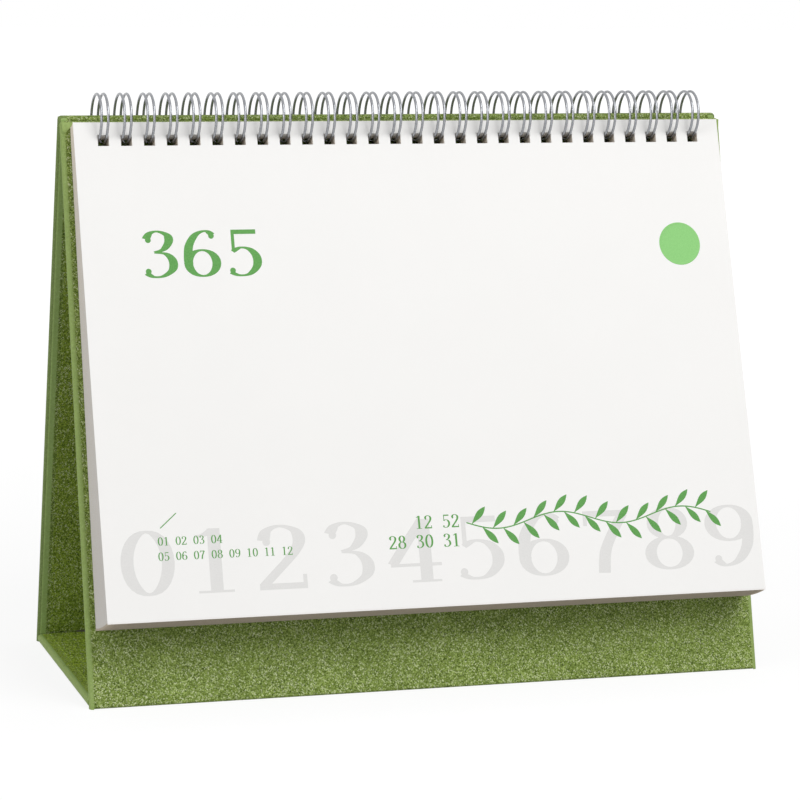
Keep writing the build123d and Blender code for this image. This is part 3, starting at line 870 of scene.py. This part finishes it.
# Month leaves' print: dark grey and green ink. Each leaf has its number, a mark at the head of
# each of seven columns, the days under them and thin rules between the weeks.
MONTH_DAYS = (31, 28, 31, 30, 31, 30, 31, 31, 30, 31, 30, 31)
WEEK = 7
WEEK_ROWS = 6
COLUMN_LEFT = -58.0
COLUMN_STEP = 24.5
MARK_TOP = 29.0
MARK_LOW = 30.2
MARK_WIDTH = 9.0
ROW_TOP = 38.0
ROW_STEP = 22.5
RULE_ABOVE = 3.2
RULE_WIDTH = 0.2
DAY_HEIGHT = 5.6
FIRST_COLUMN = 4
grey_ink = printing_ink("grey_ink", mottle((78, 80, 78), (96, 98, 95)))
green_ink = printing_ink("green_ink", mottle((104, 150, 84), (120, 164, 98)))
start_column = FIRST_COLUMN
for number, (leaf, days) in enumerate(zip(MONTHS, MONTH_DAYS), 1):
    grey_page = Print(leaf, INK_FILM)
    green_page = Print(leaf, INK_FILM)
    figures(green_page, f"{number:02d}", left=-114.0, base=55.0, height=26.0, stretch=1.3)
    for column in range(WEEK):
        page = grey_page if column else green_page
        left = COLUMN_LEFT + column * COLUMN_STEP
        page.block(left, MARK_TOP, left + MARK_WIDTH, MARK_LOW)
    for row in range(WEEK_ROWS):
        down = ROW_TOP + row * ROW_STEP - RULE_ABOVE
        grey_page.block(COLUMN_LEFT, down, COLUMN_LEFT + WEEK * COLUMN_STEP, down + RULE_WIDTH)
    for day in range(1, days + 1):
        row, column = divmod(start_column + day - 1, WEEK)
        page = grey_page if column else green_page
        left = COLUMN_LEFT + column * COLUMN_STEP
        base = ROW_TOP + row * ROW_STEP + DAY_HEIGHT
        figures(page, str(day), left, base, DAY_HEIGHT, steps=SMALL_STEPS)
    start_column = (start_column + days) % WEEK
    grey_page.finish(f"{leaf}_grey_print", grey_ink)
    green_page.finish(f"{leaf}_green_print", green_ink)

# Planner leaf's print: green ink, with a heading line and a small block for each day, in twelve
# groups that stand four to a row.
DAY_BLOCK = 4.4
DAY_PITCH = 6.2
GROUPS_IN_ROW = 4
GROUP_LEFT = -112.0
GROUP_TOP = 38.0
GROUP_ACROSS = 60.0
GROUP_DOWN = 48.0
GROUP_WIDTH = (WEEK - 1) * DAY_PITCH + DAY_BLOCK
HEADING_TOP = 5.0
HEADING_LOW = 4.2
planner = Print("planner_leaf", INK_FILM)
for month, days in enumerate(MONTH_DAYS):
    left = GROUP_LEFT + month % GROUPS_IN_ROW * GROUP_ACROSS
    top = GROUP_TOP + month // GROUPS_IN_ROW * GROUP_DOWN
    for day in range(days):
        x = left + day % WEEK * DAY_PITCH
        down = top + day // WEEK * DAY_PITCH
        planner.block(x, down, x + DAY_BLOCK, down + DAY_BLOCK)
    planner.block(left, top - HEADING_TOP, left + GROUP_WIDTH, top - HEADING_LOW)
planner.finish("planner_blocks", green_ink)

# Title and back leaves' print: four large figures over a line in green ink on the one, and on the
# other thin grey rules to write on.
NOTE_LINES = 13
NOTE_TOP = 36.0
NOTE_STEP = 11.0
NOTE_HALF = 112.0
NOTE_WIDTH = 0.25
title = Print("title_leaf", INK_FILM)
figures(title, "1234", left=-50.0, base=105.0, height=32.0, stretch=1.3)
title.block(left=-60.0, top=120.0, right=60.0, low=120.8)
title.finish("title_figures", green_ink)
notes = Print("back_leaf", INK_FILM)
for line in range(NOTE_LINES):
    down = NOTE_TOP + line * NOTE_STEP
    notes.block(-NOTE_HALF, down, NOTE_HALF, down + NOTE_WIDTH)
notes.finish("back_leaf_rules", grey_ink)

# Floor: a plain white studio floor that keeps the calendar's soft shadow, and looks white to the
# camera and in the wire.
WHITE = (1, 1, 1, 1)
FLOOR_HALF = 4.0
GLOW_REACH = (0.2, 1.0)
GLOW_SHARES = (0.66, 0.77)
GLOW_STRENGTH = 1.3


def seen_directly(shading):
    """1 where something is seen, itself, mirrored or through glass, and 0 where it only lights."""
    path = shading.add("LightPath").outputs
    seen = shading.math("MAXIMUM", path["Is Camera Ray"], path["Is Glossy Ray"])
    return shading.math("MAXIMUM", seen, path["Is Transmission Ray"])


floor_mesh = bmesh.new()
bmesh.ops.create_grid(floor_mesh, x_segments=1, y_segments=1, size=FLOOR_HALF)
floor_finish = Finish("white_floor", Base_Color=paint(186, 186, 186), Roughness=0.9)
away = floor_finish.add("VectorMath", {0: floor_finish.place}, operation="LENGTH").outputs["Value"]
glow_share = floor_finish.spread(away, *GLOW_REACH, *GLOW_SHARES)
floor_share = floor_finish.math("MULTIPLY", seen_directly(floor_finish), glow_share)
glow = floor_finish.add("Emission", {"Color": WHITE, "Strength": GLOW_STRENGTH}).outputs["Emission"]
floor_shades = {0: floor_share, 1: floor_finish.surface.outputs["BSDF"], 2: glow}
floor_mix = floor_finish.add("MixShader", floor_shades).outputs["Shader"]
floor_finish.feed(floor_finish.tree.nodes["Material Output"].inputs["Surface"], floor_mix)
floor = new_piece("floor", floor_mesh, floor_finish.material)

# Flags: two black cards that stand left and right of the table. Only reflections see them, and
# they give the bright wire its dark edges.
FLAG_HALF = 0.8
FLAG_DISTANCE = 1.9
FLAG_HEIGHT = 0.4
flag_black = Finish("flag_black", Base_Color=paint(10, 10, 10), Roughness=1.0)
for name, azimuth in (("left_flag", -108), ("right_flag", 72)):
    flag_mesh = bmesh.new()
    bmesh.ops.create_grid(flag_mesh, x_segments=1, y_segments=1, size=FLAG_HALF)
    flag = new_piece(name, flag_mesh, flag_black.material)
    turn = math.radians(azimuth)
    flag.location = (FLAG_DISTANCE * math.sin(turn), -FLAG_DISTANCE * math.cos(turn), FLAG_HEIGHT)
    flag.rotation_euler = (math.pi / 2, 0, turn)
    flag.visible_camera = False
    flag.visible_diffuse = False
    flag.visible_transmission = False
    flag.visible_shadow = False

# Studio: a dim white room, one broad lamp high in front and a weaker one from the left, and a
# long lens a little above the easel's top, left of its middle.
SKY_LIGHT = 0.44
SKY_SEEN = 1.0
CAMERA_SPOT = Vector((-349.25, -1100.26, 303.63)) * MM
CAMERA_AIM = Vector((0.0, 5.02, 98.93)) * MM
CAMERA_ROLL = 1.264
CAMERA_LENS = 140.73
CAMERA_SENSOR = 36.0
world = bpy.data.worlds.new("studio")
bpy.context.scene.world = world
world.use_nodes = True
sky = Nodes(world.node_tree)
sky_light = sky.tree.nodes["Background"]
sky.feed(sky_light.inputs["Color"], WHITE)
sky.feed(sky_light.inputs["Strength"], SKY_LIGHT)
sky_seen = sky.add("Background", {"Color": WHITE, "Strength": SKY_SEEN})
sky_shades = {0: seen_directly(sky), 1: sky_light.outputs[0], 2: sky_seen.outputs[0]}
sky_mix = sky.add("MixShader", sky_shades).outputs["Shader"]
sky.feed(sky.tree.nodes["World Output"].inputs["Surface"], sky_mix)
middle = (cad_box[0] + cad_box[1]) / 2


def studio_lamp(name, spot, size, power):
    """A square soft light aimed at the middle of the calendar."""
    lamp = bpy.data.lights.new(name, "AREA")
    lamp.size = size
    lamp.energy = power
    holder = bpy.data.objects.new(name, lamp)
    bpy.context.scene.collection.objects.link(holder)
    holder.location = spot
    holder.rotation_mode = "QUATERNION"
    holder.rotation_quaternion = (middle - Vector(spot)).to_track_quat("-Z", "Y")


studio_lamp("key_light", spot=(0.48, -0.95, 1.15), size=0.9, power=11.9)
studio_lamp("side_light", spot=(-1.35, -0.5, 0.5), size=0.8, power=6.2)
camera_data = bpy.data.cameras.new("camera")
camera_data.lens = CAMERA_LENS
camera_data.sensor_width = CAMERA_SENSOR
camera = bpy.data.objects.new("camera", camera_data)
bpy.context.scene.collection.objects.link(camera)
camera.location = CAMERA_SPOT
camera.rotation_mode = "QUATERNION"
roll = Quaternion((0, 0, 1), math.radians(CAMERA_ROLL))
camera.rotation_quaternion = (CAMERA_AIM - CAMERA_SPOT).to_track_quat("-Z", "Y") @ roll
bpy.context.scene.camera = camera
bpy.context.scene.view_settings.view_transform = "Standard"
